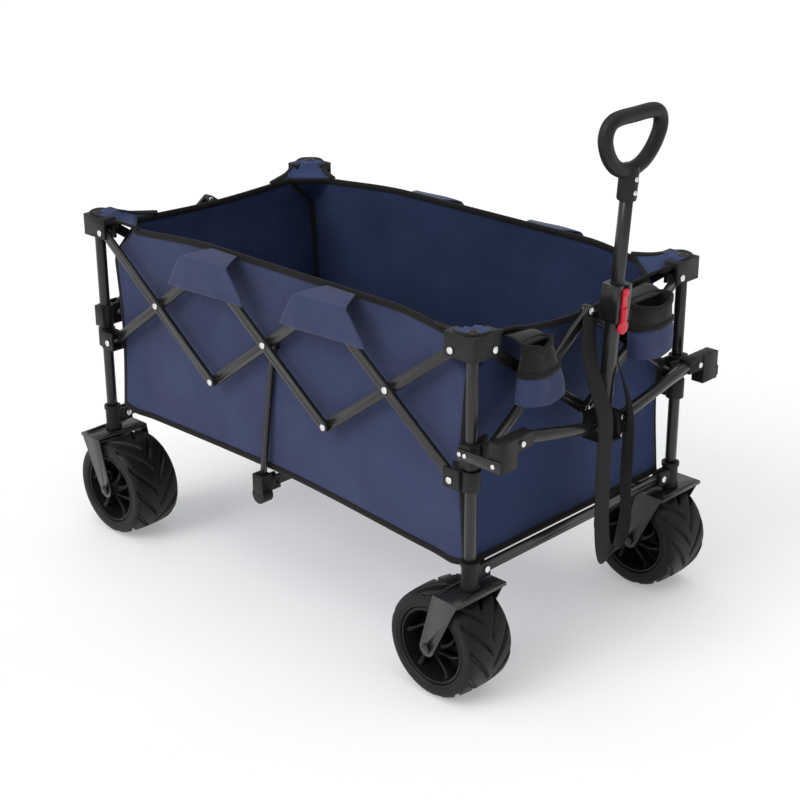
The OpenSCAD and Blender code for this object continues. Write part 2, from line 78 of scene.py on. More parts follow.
JOINTS = {j["name"]: j for j in frame["joints"]}
FLAP_PIVOTS = [JOINTS["low_apex_1"]["pos_m"][0], JOINTS["top_apex_2"]["pos_m"][0]]
TYRE_LOW, TYRE_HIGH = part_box("tyre_front_left")
SIDES = {"left": -1, "right": 1}


# ---- camera, floor and light ------------------------------------------------------------

CAMERA_AZIMUTH = math.radians(44.48)
CAMERA_ELEVATION = math.radians(22.36)
CAMERA_ROLL = math.radians(0.22)
CAMERA_DISTANCE = 3.2314
CAMERA_ASIDE = 0.0367
CAMERA_RAISED = 0.1037
LENS_SHARE = 1715.15 / 800
SENSOR_MM = 36.0
AIM_Z = 0.198


def make_camera():
    az, el = CAMERA_AZIMUTH, CAMERA_ELEVATION
    back = Vector((math.sin(az) * math.cos(el), -math.cos(az) * math.cos(el), math.sin(el)))
    right = (-back).cross(Vector((0, 0, 1))).normalized()
    up = right.cross(-back)
    turn = Matrix.Rotation(-CAMERA_ROLL, 3, back)
    right, up = turn @ right, turn @ up
    data = bpy.data.cameras.new("camera")
    data.sensor_width = SENSOR_MM
    data.lens = LENS_SHARE * SENSOR_MM
    data.clip_end = 200
    camera = bpy.data.objects.new("camera", data)
    bpy.context.scene.collection.objects.link(camera)
    aim = Vector((TUB_MID_X, 0, AIM_Z))
    place = aim + back * CAMERA_DISTANCE + right * CAMERA_ASIDE + up * CAMERA_RAISED
    camera.matrix_world = Matrix(
        (
            (right.x, up.x, back.x, place.x),
            (right.y, up.y, back.y, place.y),
            (right.z, up.z, back.z, place.z),
            (0, 0, 0, 1),
        )
    )
    bpy.context.scene.camera = camera


def sun(name, towards, strength, softness):
    """Even light from one direction, softened like a large lamp."""
    data = bpy.data.lights.new(name, "SUN")
    data.energy = strength
    data.angle = math.radians(softness)
    lamp = bpy.data.objects.new(name, data)
    bpy.context.scene.collection.objects.link(lamp)
    lamp.rotation_euler = Vector(towards).to_track_quat("-Z", "Y").to_euler()


def make_studio():
    world = bpy.data.worlds.new("studio")
    bpy.context.scene.world = world
    world.use_nodes = True
    background = world.node_tree.nodes["Background"]
    background.inputs["Color"].default_value = (0.97, 0.985, 1.0, 1)
    background.inputs["Strength"].default_value = 0.62
    sun("key", (0.20, 0.86, -0.62), 1.5, 38)
    sun("top", (-0.10, 0.05, -1.0), 0.95, 60)
    half = 60.0
    mesh = bpy.data.meshes.new("floor")
    mesh.from_pydata(
        [(-half, -half, 0), (half, -half, 0), (half, half, 0), (-half, half, 0)], [], [(0, 1, 2, 3)]
    )
    floor = bpy.data.objects.new("floor", mesh)
    bpy.context.scene.collection.objects.link(floor)
    floor.data.materials.append(floor_material())
    bpy.context.scene.view_settings.view_transform = "Standard"


# ---- materials --------------------------------------------------------------------------


class Shader:
    """A node material with one Principled shader, and short helpers for its nodes."""

    def __init__(self, name, rough, metal=0.0, sheen=0.0, coat=0.0, ior=1.5):
        self.material = bpy.data.materials.new(name)
        self.material.use_nodes = True
        self.tree = self.material.node_tree
        self.bsdf = self.tree.nodes["Principled BSDF"]
        self.set("Roughness", rough)
        self.set("Metallic", metal)
        self.set("Sheen Weight", sheen)
        self.set("Coat Weight", coat)
        self.set("IOR", ior)
        self.set("Specular IOR Level", 0.22)
        self.place = self.node("ShaderNodeTexCoord").outputs["Object"]

    def node(self, kind):
        return self.tree.nodes.new(kind)

    def link(self, a, b):
        self.tree.links.new(a, b)

    def set(self, socket, value):
        self.bsdf.inputs[socket].default_value = value

    def noise(self, scale, detail=3.0, rough=0.5, stretch=None):
        n = self.node("ShaderNodeTexNoise")
        n.inputs["Scale"].default_value = scale
        n.inputs["Detail"].default_value = detail
        n.inputs["Roughness"].default_value = rough
        self.link(self.mapped(stretch), n.inputs["Vector"])
        return n.outputs["Fac"]

    def mapped(self, stretch):
        if stretch is None:
            return self.place
        m = self.node("ShaderNodeMapping")
        m.inputs["Scale"].default_value = stretch
        self.link(self.place, m.inputs["Vector"])
        return m.outputs["Vector"]

    def wave(self, scale, direction, stretch=None):
        w = self.node("ShaderNodeTexWave")
        w.bands_direction = direction
        w.inputs["Scale"].default_value = scale
        w.inputs["Distortion"].default_value = 0.4
        w.inputs["Detail"].default_value = 1.0
        self.link(self.mapped(stretch), w.inputs["Vector"])
        return w.outputs["Fac"]

    def maths(self, kind, a, b):
        n = self.node("ShaderNodeMath")
        n.operation = kind
        for socket, value in ((n.inputs[0], a), (n.inputs[1], b)):
            if isinstance(value, (int, float)):
                socket.default_value = value
            else:
                self.link(value, socket)
        return n.outputs[0]

    def ramp(self, fac, stops):
        r = self.node("ShaderNodeValToRGB")
        ramp = r.color_ramp
        ramp.elements[0].position, ramp.elements[0].color = stops[0][0], (*stops[0][1], 1)
        ramp.elements[1].position, ramp.elements[1].color = stops[-1][0], (*stops[-1][1], 1)
        for where, colour in stops[1:-1]:
            ramp.elements.new(where).color = (*colour, 1)
        self.link(fac, r.inputs["Fac"])
        return r.outputs["Color"]

    def colour(self, fac, stops):
        self.link(self.ramp(fac, stops), self.bsdf.inputs["Base Color"])

    def roughness(self, fac, low, high):
        m = self.node("ShaderNodeMapRange")
        m.inputs["To Min"].default_value = low
        m.inputs["To Max"].default_value = high
        self.link(fac, m.inputs["Value"])
        self.link(m.outputs["Result"], self.bsdf.inputs["Roughness"])

    def bump(self, height, strength, distance):
        b = self.node("ShaderNodeBump")
        b.inputs["Strength"].default_value = strength
        b.inputs["Distance"].default_value = distance
        self.link(height, b.inputs["Height"])
        self.link(b.outputs["Normal"], self.bsdf.inputs["Normal"])


def grey(v, warm=0.0):
    return (v * (1 + warm), v, v * (1 - warm))


def floor_material():
    s = Shader("floor", 0.6)
    s.colour(s.noise(3.0), [(0.3, grey(0.64)), (0.7, grey(0.66))])
    s.set("Emission Color", (0.97, 0.985, 1.0, 1))
    s.set("Emission Strength", 0.30)
    return s.material


def fabric_material(name, dark, mid, light, sheen):
    """Plain-woven polyester: crossed threads, slubs and a faint broad unevenness."""
    s = Shader(name, 0.8, sheen=sheen, ior=1.45)
    threads = s.maths("MAXIMUM", s.wave(420, "Z"), s.maths("MAXIMUM", s.wave(420, "X"), s.wave(420, "Y")))
    slubs = s.noise(900, 2.0, 0.6, (1.0, 1.0, 0.15))
    broad = s.noise(9, 4.0, 0.55)
    mix = s.maths("ADD", s.maths("MULTIPLY", slubs, 0.35), s.maths("MULTIPLY", broad, 0.65))
    s.colour(mix, [(0.30, dark), (0.5, mid), (0.70, light)])
    s.roughness(broad, 0.72, 0.9)
    s.bump(s.maths("ADD", s.maths("MULTIPLY", threads, 0.6), s.maths("MULTIPLY", slubs, 0.5)), 0.35, 0.0004)
    return s.material


def webbing_material():
    s = Shader("webbing", 0.75, sheen=0.05)
    ribs = s.maths("MULTIPLY", s.wave(260, "Z"), s.wave(420, "Y"))
    s.colour(s.maths("ADD", s.noise(300), s.maths("MULTIPLY", ribs, 0.3)),
             [(0.3, grey(0.004)), (0.6, grey(0.008)), (0.9, grey(0.016, 0.05))])
    s.bump(ribs, 0.7, 0.0008)
    return s.material


def net_material():
    """Open net of the pocket tops: lighter threads round small dark cells, the cells painted shade standing for
    the holes.
    """
    s = Shader("net", 0.8, sheen=0.15)
    hole_shade_cells = s.node("ShaderNodeTexVoronoi")
    hole_shade_cells.feature = "DISTANCE_TO_EDGE"
    hole_shade_cells.inputs["Scale"].default_value = 330
    s.link(s.place, hole_shade_cells.inputs["Vector"])
    # darkest in the middle of each cell: painted shade of the holes
    s.colour(hole_shade_cells.outputs["Distance"], [(0.02, grey(0.009)), (0.12, grey(0.004)), (0.5, grey(0.002))])
    s.bump(hole_shade_cells.outputs["Distance"], -0.8, 0.001)
    return s.material


def coated_steel():
    """Powder coat: fine orange peel, slightly uneven gloss, rubbed lighter in places."""
    s = Shader("coated_steel", 0.35, coat=0.15)
    wear = s.noise(38, 6.0, 0.65)
    s.colour(wear, [(0.35, grey(0.008, 0.05)), (0.62, grey(0.011, 0.07)), (0.85, grey(0.020, 0.08))])
    s.roughness(s.noise(60, 3.0), 0.25, 0.33)
    s.set("Specular IOR Level", 0.40)
    s.bump(s.noise(1400, 2.0), 0.035, 0.0002)
    return s.material


def moulded(name, low, high, rough_low, rough_high, grain=1500):
    s = Shader(name, 0.5)
    s.colour(s.noise(22, 5.0), [(0.3, low), (0.75, high)])
    s.roughness(s.noise(60, 3.0), rough_low, rough_high)
    s.bump(s.noise(grain, 2.0), 0.18, 0.0004)
    return s.material


def bright_metal():
    s = Shader("bright_metal", 0.25, metal=1.0)
    s.colour(s.noise(500, 3.0), [(0.3, grey(0.62)), (0.7, grey(0.86))])
    s.roughness(s.noise(900, 3.0), 0.16, 0.36)
    s.bump(s.noise(1600), 0.08, 0.0002)
    return s.material


def tyre_material():
    s = Shader("tyre_rubber", 0.7)
    dust = s.noise(35, 6.0, 0.7)
    s.colour(dust, [(0.3, grey(0.004)), (0.6, grey(0.007, 0.03)), (0.85, grey(0.014, 0.06))])
    s.roughness(dust, 0.34, 0.55)
    s.bump(s.noise(1100, 3.0), 0.22, 0.0005)
    return s.material


# ---- mesh helpers -----------------------------------------------------------------------


def piece(name, verts, faces, body, material, replaces=(), smooth=True):
    mesh = bpy.data.meshes.new(name)
    mesh.from_pydata([tuple(v) for v in verts], [], faces)
    clean = bmesh.new()
    clean.from_mesh(mesh)
    bmesh.ops.remove_doubles(clean, verts=clean.verts, dist=1e-6)
    bmesh.ops.recalc_face_normals(clean, faces=clean.faces)
    clean.to_mesh(mesh)
    clean.free()
    obj = bpy.data.objects.new(name, mesh)
    bpy.context.scene.collection.objects.link(obj)
    mesh.materials.append(material)
    mesh.polygons.foreach_set("use_smooth", [smooth] * len(mesh.polygons))
    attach(obj, body)
    if replaces:
        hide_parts(*replaces)
    return obj


def bake(obj):
    """Makes the modifiers part of the mesh."""
    bpy.context.view_layer.update()
    shaped = bpy.data.meshes.new_from_object(obj.evaluated_get(bpy.context.evaluated_depsgraph_get()))
    obj.modifiers.clear()
    obj.data = shaped


def solidify(obj, thickness, offset=-1.0):
    m = obj.modifiers.new("thick", "SOLIDIFY")
    m.thickness = thickness
    m.offset = offset
    bake(obj)


def rounded_copy(node, width, material, segments=2):
    """The CAD shape with its sharp edges rounded, standing for the CAD node."""
    source = frame["nodes"][node]
    mesh = bpy.data.meshes.new(node + "_round")
    b = bmesh.new()
    b.from_mesh(source.data)
    bmesh.ops.remove_doubles(b, verts=b.verts, dist=2e-6)
    bmesh.ops.dissolve_limit(b, angle_limit=math.radians(1.5), verts=b.verts, edges=b.edges)
    b.to_mesh(mesh)
    b.free()
    mesh.materials.clear()
    mesh.materials.append(material)
    obj = bpy.data.objects.new(node + "_round", mesh)
    bpy.context.scene.collection.objects.link(obj)
    m = obj.modifiers.new("round", "BEVEL")
    m.width = width
    m.segments = segments
    m.limit_method = "ANGLE"
    m.angle_limit = math.radians(38)
    m.harden_normals = True
    bake(obj)
    obj.data.polygons.foreach_set("use_smooth", [True] * len(obj.data.polygons))
    obj.data.set_sharp_from_angle(angle=math.radians(50))
    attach(obj, body_of_node(node))
    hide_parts(node)
    return obj


def body_of_node(node):
    for body, members in frame["record"]["behaviour"]["bodies"].items():
        if node in members:
            return body
    raise KeyError(node)


def grid_faces(rows, columns, wrap_rows=False, wrap_columns=False):
    faces = []
    for r in range(rows if wrap_rows else rows - 1):
        for c in range(columns if wrap_columns else columns - 1):
            r2, c2 = (r + 1) % rows, (c + 1) % columns
            faces.append((r * columns + c, r * columns + c2, r2 * columns + c2, r2 * columns + c))
    return faces


def sweep(path, section, frames, closed=False):
    """Verts and faces of section (pairs along the frame's two vectors) swept along path."""
    verts = []
    for p, (a, b) in zip(path, frames):
        verts += [p + a * s + b * t for s, t in section]
    n, k = len(path), len(section)
    faces = grid_faces(n, k, wrap_rows=closed, wrap_columns=True)
    if not closed:
        faces.append(tuple(reversed(range(k))))
        faces.append(tuple(range((n - 1) * k, n * k)))
    return verts, faces


def tape_section(width, thickness):
    """Cross-section of a folded tape: flat with rounded edges."""
    w, t = width / 2, thickness / 2
    return [(-w, -t * 0.4), (-w * 0.92, -t), (w * 0.92, -t), (w, -t * 0.4),
            (w, t * 0.4), (w * 0.92, t), (-w * 0.92, t), (-w, t * 0.4)]


def smoothstep(e0, e1, x):
    t = min(max((x - e0) / (e1 - e0), 0.0), 1.0)
    return t * t * (3 - 2 * t)


def round_path(points, count):
    """A smooth line through given points, sampled evenly by a Catmull-Rom spline."""
    pts = [Vector(p) for p in points]
    pts = [2 * pts[0] - pts[1]] + pts + [2 * pts[-1] - pts[-2]]
    spans = len(pts) - 3
    out = []
    for i in range(count):
        u = i / (count - 1) * spans
        k = min(int(u), spans - 1)
        t = u - k
        a, b, c, d = pts[k:k + 4]
        out.append(0.5 * ((2 * b) + (c - a) * t + (2 * a - 5 * b + 4 * c - d) * t ** 2
                          + (3 * b - a - 3 * c + d) * t ** 3))
    return out


# ---- tub --------------------------------------------------------------------------------

CORNER_RIM = 0.062
CORNER_LOW = 0.006
SIDE_COLUMNS = 150
ROWS = 56
BINDING_W = 0.012
BINDING_T = 0.0046
CLOTH_T = 0.0016
REAR_DIP = 0.018
FRONT_DIP = 0.018
FRONT_SAG = 0.020
REAR_SAG = 0.006
FRONT_HANG = 0.026
REAR_HANG = 0.004
CORNER_FLARE = 0.008
CORNER_DRAW = 0.012
HEM_ARCH = 0.005
HEM_ROUND = 0.010
FLOOR_PANELS_L = 0.894
FLOOR_T = 0.0024


def corner_cut(h):
    """How far the corner is cut off at height share h (0 bottom, 1 rim)."""
    return CORNER_LOW + (CORNER_RIM - CORNER_LOW) * smoothstep(0.80, 1.0, h)


def pulled_in(h):
    """How far the upright corner edges are drawn inwards between floor and rim."""
    return CORNER_DRAW * math.sin(math.pi * min(h / 0.86, 1.0)) ** 1.2


def hem_drop(along):
    """How far the hem hangs below the tub floor, from 0 at the rear to 1 at the front."""
    hang = REAR_HANG + (FRONT_HANG - REAR_HANG) * smoothstep(0.45, 1.0, along)
    return hang - HEM_ARCH * math.sin(math.pi * along)


def fold_depth(x, z, seed):
    """Soft creases of slack cloth."""
    slow = noise.noise(Vector((x * 5.5, z * 3.0, seed)))
    crease = noise.noise(Vector((x * 22.0, z * 5.0, seed + 7.3)))
    return 0.0032 * slow + 0.0012 * crease


def side_point(u, h, sign):
    """Point of the side cloth: u runs 0 to 1 from the rear end plane to the front end plane."""
    cut = corner_cut(h)
    draw = pulled_in(h)
    half = TUB_HALF_L - draw * 0.9
    straight = 2 * (half - cut)
    diagonal = cut * 1.28
    total = straight + 2 * diagonal
    s = u * total
    if s < diagonal:
        t = s / diagonal
        x, inset = -half + cut * t, cut * 0.8 * (1 - t)
    elif s > total - diagonal:
        t = (total - s) / diagonal
        x, inset = half - cut * t, cut * 0.8 * (1 - t)
    else:
        x, inset = -half + cut + (s - diagonal), 0.0
    along = (x + TUB_HALF_L) / (2 * TUB_HALF_L)
    ease = min(1.0, 8 * min(u, 1 - u))
    sag = (REAR_DIP * smoothstep(0.32, 0.0, along) + FRONT_DIP * smoothstep(0.80, 1.0, along)) * h ** 2
    hem = TUB_BOTTOM - hem_drop(along)
    z = hem + (RIM_Z - 0.003 - hem) * h - sag
    round_off = smoothstep(0.05, 0.0, min(u, 1 - u)) * smoothstep(0.05, 0.0, h)
    z += HEM_ROUND * round_off
    bulge = 0.004 * math.sin(math.pi * h) * math.sin(math.pi * along)
    creases = fold_depth(x, z, 3.0 * sign) * ease * smoothstep(0.0, 0.12, h) * smoothstep(1.0, 0.93, h)
    flare = CORNER_FLARE * smoothstep(0.10, 0.0, min(along, 1 - along)) * smoothstep(1.0, 0.85, h)
    y = TUB_HALF_W - 0.001 - inset + flare + min(bulge + creases, 0.0045) * (1 - round_off)
    return Vector((TUB_MID_X + x, sign * y, z))


def end_point(v, h, sign):
    """Point of an end cloth: v runs 0 to 1 from left to right, between the side cloths' edges."""
    left, right = side_point(1.0 if sign > 0 else 0.0, h, -1), side_point(1.0 if sign > 0 else 0.0, h, 1)
    p = left.lerp(right, v)
    middle = math.sin(math.pi * v)
    p.z -= (FRONT_SAG if sign > 0 else REAR_SAG) * middle ** 1.3 * h ** 4
    creases = fold_depth(p.y, p.z, 11.0 * sign) * 1.5 * min(1.0, 5 * min(v, 1 - v))
    p.x += sign * min(creases * smoothstep(0, 0.1, h) * smoothstep(1.0, 0.93, h), 0.004)
    return p


def cloth(name, point, columns, body, cad_node, outside):
    verts = [point(c / (columns - 1), r / (ROWS - 1)) for r in range(ROWS) for c in range(columns)]
    obj = piece(name, verts, grid_faces(ROWS, columns), body, outside, [cad_node])
    solidify(obj, CLOTH_T, 0.0)
    obj.data.polygons.foreach_set("use_smooth", [True] * len(obj.data.polygons))
    shade_inside_faces(obj)
    return obj


def cloth_size(point, h=0.5):
    """Width at half height and height at the middle of a cloth, measured along its surface."""
    width = sum((point((c + 1) / 60, h) - point(c / 60, h)).length for c in range(60))
    height = sum((point(0.5, (r + 1) / 60) - point(0.5, r / 60)).length for r in range(60))
    return round(width, 3), round(height, 3)


def shade_inside_faces(obj):
    """Gives the faces towards the middle of the tub a darker copy of the navy: painted shade of the tub's
    interior.
    """
    obj.data.materials.append(M["inside_shade"])
    for polygon in obj.data.polygons:
        towards_middle = Vector((TUB_MID_X, 0, polygon.center.z)) - polygon.center
        narrow = abs(polygon.normal.y) > abs(polygon.normal.x)
        facing = polygon.normal.y * towards_middle.y if narrow else polygon.normal.x * towards_middle.x
        polygon.material_index = 1 if facing > 0 else 0


def tape(name, points, across, outwards, width, thickness, body):
    """Folded binding along points; across and outwards give its directions at each point."""
    frames = [(a.normalized(), o.normalized()) for a, o in zip(across, outwards)]
    verts, faces = sweep(points, tape_section(width, thickness), frames)
    return piece(name, verts, faces, body, M["binding"])


def squash_with_fold(obj):
    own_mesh(obj)


def edge_tape(name, point, h_or_u, along_rim, normal, body):
    """Binding on one edge of a cloth: along the rim or bottom (fixed h), or upright (fixed u)."""
    count = 90 if along_rim else 40
    line, across, outwards = [], [], []
    for i in range(count):
        t = i / (count - 1)
        p = point(t, h_or_u) if along_rim else point(h_or_u, t)
        q = point(t, h_or_u - 0.02 if h_or_u > 0.5 else h_or_u + 0.02) if along_rim else None
        if along_rim:
            inwards = (q - p).normalized()
            step = point(min(t + 0.01, 1), h_or_u) - point(max(t - 0.01, 0), h_or_u)
        else:
            step = point(h_or_u, min(t + 0.02, 1)) - point(h_or_u, max(t - 0.02, 0))
            inwards = (point(0.018 if h_or_u < 0.5 else 0.982, t) - p).normalized()
        out = step.cross(inwards).normalized()
        proud = 0.0 if along_rim else 0.0012
        line.append(p + inwards * (BINDING_W / 2 - 0.0015) + normal * proud)
        across.append(inwards)
        outwards.append(out)
    return tape(name, line, across, outwards, BINDING_W, BINDING_T, body)


def build_tub():
    for word, sign in SIDES.items():
        def point(u, h, sign=sign):
            return side_point(u, h, sign)
        node = f"tub_side_{word}"
        side = cloth(f"side_cloth_{word}", point, SIDE_COLUMNS, "rear_frame", node, M["navy"])
        squash_with_fold(side)
        normal = Vector((0, sign, 0))
        edges = []
        for edge, h in (("rim", 1.0), ("hem", 0.0)):
            edges.append(edge_tape(f"{edge}_binding_{word}", point, h, True, normal, "rear_frame"))
            squash_with_fold(edges[-1])
        edges.append(edge_tape(f"corner_binding_rear_{word}", point, 0.0, False, normal, "rear_frame"))
        edges.append(edge_tape(f"corner_binding_front_{word}", point, 1.0, False, normal, "front_frame"))
        cloth_size(point)
    for word, sign, body in (("front", 1, "front_frame"), ("rear", -1, "rear_frame")):
        def point(v, h, sign=sign):
            return end_point(v, h, sign)
        # the end cloths take the darker copy of the navy: painted shade
        end = cloth(f"end_cloth_{word}", point, 90, body, f"tub_{word}", M["navy_shaded_end"])
        normal = Vector((sign, 0, 0))
        edges = [edge_tape(f"{edge}_binding_{word}", point, h, True, normal, body)
                 for edge, h in (("rim", 1.0), ("hem", 0.0))]
        cloth_size(point)
    build_tub_floor()
    for word, sign in SIDES.items():
        build_corner_tab(word, sign, 1, "front_frame")
        build_corner_tab(word, sign, -1, "rear_frame")
        for number, pivot_x in enumerate(FLAP_PIVOTS, 1):
            build_flap(word, sign, number, pivot_x + FLAP_AHEAD)


def build_tub_floor():
    rows, columns = 40, 70
    half_l, half_w = TUB_HALF_L - 0.0035, TUB_HALF_W - 0.0025
    verts = []
    for r in range(rows):
        for c in range(columns):
            x = TUB_MID_X + half_l * (2 * c / (columns - 1) - 1)
            y = half_w * (2 * r / (rows - 1) - 1)
            edge = min(half_l - abs(x - TUB_MID_X), half_w - abs(y))
            wave = abs(math.sin((x - FLOOR_LOW.x) / FLOOR_PANELS_L * math.pi * 4))
            panel = 0.0012 * smoothstep(0.0, 0.01, wave * 0.07)
            z = FLOOR_HIGH.z - 0.0035 + panel + 0.0006 * noise.noise(Vector((x * 14, y * 14, 2)))
            verts.append((x, y, z - 0.002 * smoothstep(0.02, 0.0, edge)))
    obj = piece("floor_cloth", verts, grid_faces(rows, columns), "rear_frame", M["navy"],
                ["tub_floor"])
    solidify(obj, FLOOR_T, -1.0)
    squash_with_fold(obj)


TAB_OVER = 0.017


def build_corner_tab(word, sign, end, body):
    """Bound tab from the cut corner of the rim over the top of the cap."""
    word_end = "front" if end > 0 else "rear"
    post = Vector((FRONT_POST_X if end > 0 else REAR_POST_X, sign * POST_Y, 0))
    top = CAP_HIGH.z - 0.0032
    rim_u = 0.90 if end > 0 else 0.10
    rim_v = 0.13 if sign < 0 else 0.87
    side_start = side_point(rim_u, 1.0, sign) + Vector((0, sign * 0.003, 0.003))
    end_start = end_point(rim_v, 1.0, end) + Vector((end * 0.003, 0, 0.003))
    corner = post + Vector((end * TAB_OVER, sign * TAB_OVER, top))
    inner = []
    steps = 30
    side_mid = post + Vector((-end * 0.018, sign * TAB_OVER, top))
    end_mid = post + Vector((end * TAB_OVER, -sign * 0.018, top))
    outline = [side_start, (side_start + side_mid) / 2 + Vector((0, -sign * 0.006, -0.002)), side_mid,
               corner + Vector((-end * 0.006, -sign * 0.006, 0)), end_mid,
               (end_start + end_mid) / 2 + Vector((-end * 0.006, 0, -0.002)), end_start]
    outer = round_path(outline, steps + 1)
    for i in range(steps + 1):
        t = i / steps
        if t < 0.5:
            u = rim_u + ((1.0 if end > 0 else 0.0) - rim_u) * t * 2
            inner.append(side_point(u, 1.0, sign) + Vector((0, 0, 0.001)))
        else:
            v = (0.0 if sign < 0 else 1.0) + (rim_v - (0.0 if sign < 0 else 1.0)) * (t - 0.5) * 2
            inner.append(end_point(v, 1.0, end) + Vector((0, 0, 0.001)))
    rows = 8
    verts = []
    for r in range(rows):
        share = r / (rows - 1)
        for a, b in zip(inner, outer):
            q = a.lerp(b, share)
            over_cap = smoothstep(0.045, 0.025, (Vector((q.x, q.y, 0)) - Vector((post.x, post.y, 0))).length)
            q.z = max(q.z, top) if over_cap > 0.5 else q.z + (top - q.z) * over_cap
            verts.append(q)
    name = f"corner_tab_{word_end}_{word}"
    # the tab takes the darker copy of the navy: painted shade
    obj = piece(name, verts, grid_faces(rows, steps + 1), body, M["navy_shaded_end"])
    solidify(obj, 0.002, 0.0)
    line, frames = [], []
    for i, p in enumerate(outer):
        step = (outer[min(i + 1, steps)] - outer[max(i - 1, 0)]).normalized()
        inwards = (inner[i] - p)
        inwards = (inwards - step * inwards.dot(step)).normalized()
        frames.append((inwards, step.cross(inwards).normalized()))
        line.append(p + inwards * 0.003)
    verts, faces = sweep(line, tape_section(0.010, 0.0052), frames)
    piece(name + "_binding", verts, faces, body, M["binding"])
    build_ring(name + "_grommet", post + Vector((0, 0, top + 0.0006)), 0.0050, 0.0098, 0.0024, body)


def build_ring(name, centre, inner, outer, height, body):
    section = [(inner, 0), (inner, height * 0.7), ((inner + outer) / 2, height), (outer, height * 0.5),
               (outer, 0)]
    lathe(name, section, centre, Vector((0, 0, 1)), 40, body, M["steel"])


def lathe(name, profile, centre, axis, count, body, material, replaces=(), closed=True):
    """Turns profile (radius, height along axis) round an axis through centre."""
    axis = axis.normalized()
    a = axis.orthogonal().normalized()
    b = axis.cross(a)
    verts = []
    for i in range(count):
        t = TAU * i / count
        d = a * math.cos(t) + b * math.sin(t)
        verts += [centre + d * r + axis * h for r, h in profile]
    faces = grid_faces(count, len(profile), wrap_rows=True, wrap_columns=closed)
    obj = piece(name, verts, faces, body, material, replaces)
    obj.data.set_sharp_from_angle(angle=math.radians(40))
    return obj


FLAP_TOP_W = 0.066
FLAP_LOW_W = 0.205
FLAP_OUT = 0.0505
FLAP_AHEAD = 0.015
FLAP_DROP = 0.060
FLAP_SHELF = 0.42
FLAP_T = 0.0022


def flap_point(x_mid, sign, s, t):
    """Flap cloth: s across from -1 to 1, t from 0 at the rim over the bars to 1 at the free edge."""
    width = FLAP_TOP_W + (FLAP_LOW_W - FLAP_TOP_W) * t ** 0.9
    x = x_mid + s * width / 2
    start = smoothstep(-0.30, FLAP_SHELF, 0)
    out = FLAP_OUT * (smoothstep(-0.30, FLAP_SHELF, t) - start) / (1 - start)
    away = abs(x - x_mid) / 0.10
    out *= 1 - 0.05 * away ** 2 * t
    shelf = 0.0075 * smoothstep(0.0, FLAP_SHELF, t)
    hang = (FLAP_DROP - 0.004 * s * s) * max(0.0, (t - FLAP_SHELF * 0.92) / (1 - FLAP_SHELF * 0.92)) ** 1.1
    droop = 0.002 * away ** 2 * smoothstep(0.1, 0.6, t)
    ripple = 0.0026 * noise.noise(Vector((x * 26, t * 3, sign * 5 + x_mid * 9))) * t
    z = RIM_Z - 0.0085 - shelf - hang - droop + 0.003 * math.sin(2.2 * s + 0.6) * t
    return Vector((x, sign * (TUB_HALF_W + 0.0012 + out + ripple), z))


def build_flap(word, sign, number, x_mid):
    rows, columns = 26, 40
    verts = [flap_point(x_mid, sign, -1 + 2 * c / (columns - 1), r / (rows - 1))
             for r in range(rows) for c in range(columns)]
    obj = piece(f"flap_{number}_{word}", verts, grid_faces(rows, columns), "rear_frame", M["navy"])
    solidify(obj, FLAP_T, 0.0)
    squash_with_fold(obj)
    for k, depth in enumerate((0.93, 0.30)):
        line = [flap_point(x_mid, sign, -0.97 + 1.94 * i / 60, depth) + Vector((0, sign * 0.0024, 0.0006))
                for i in range(61)]
        build_stitches(f"flap_{number}_{word}_seam_{k}", line, Vector((0, sign, 0.2)), "rear_frame", True)


def build_stitches(name, line, outwards, body, squashed=False, length=0.0030, gap=0.0018, radius=0.00035):
    """A row of short raised stitches along line."""
    total = sum((b - a).length for a, b in zip(line, line[1:]))
    verts, faces = [], []
    at, k = 0.0, 0
    lengths = [0.0]
    for a, b in zip(line, line[1:]):
        lengths.append(lengths[-1] + (b - a).length)

    def where(s):
        nonlocal k
        while k < len(line) - 2 and lengths[k + 1] < s:
            k += 1
        span = max(lengths[k + 1] - lengths[k], 1e-9)
        return line[k].lerp(line[k + 1], min((s - lengths[k]) / span, 1.0))

    out = outwards.normalized()
    while at + length < total:
        a, b = where(at), where(at + length)
        side = (b - a).cross(out).normalized() * radius
        base = len(verts)
        verts += [a - side, a + side, b + side, b - side]
        lift = out * radius * 1.3
        verts += [a.lerp(b, 0.2) - side * 0.7 + lift, a.lerp(b, 0.2) + side * 0.7 + lift,
                  a.lerp(b, 0.8) + side * 0.7 + lift, a.lerp(b, 0.8) - side * 0.7 + lift]
        for f in ((0, 1, 2, 3), (4, 5, 6, 7), (0, 1, 5, 4), (1, 2, 6, 5), (2, 3, 7, 6), (3, 0, 4, 7)):
            faces.append(tuple(base + i for i in f))
        at += length + gap
    obj = piece(name, verts, faces, body, M["thread"], smooth=False)
    if squashed:
        squash_with_fold(obj)
    return obj


# ---- cup pockets ------------------------------------------------------------------------


def oval(centre, half_x, half_y, z, count):
    points = []
    for i in range(count):
        t = TAU * i / count
        c, s = math.cos(t), math.sin(t)
        points.append(Vector((centre.x + half_x * abs(c) ** 0.75 * (1 if c > 0 else -1),
                              centre.y + half_y * abs(s) ** 0.75 * (1 if s > 0 else -1), z)))
    return points


# width and depth of the mouth as shares of those at the foot
CUP_MOUTH = {"left": (0.60, 0.62), "right": (0.94, 0.92)}
CUP_CLOTH_T = 0.0016


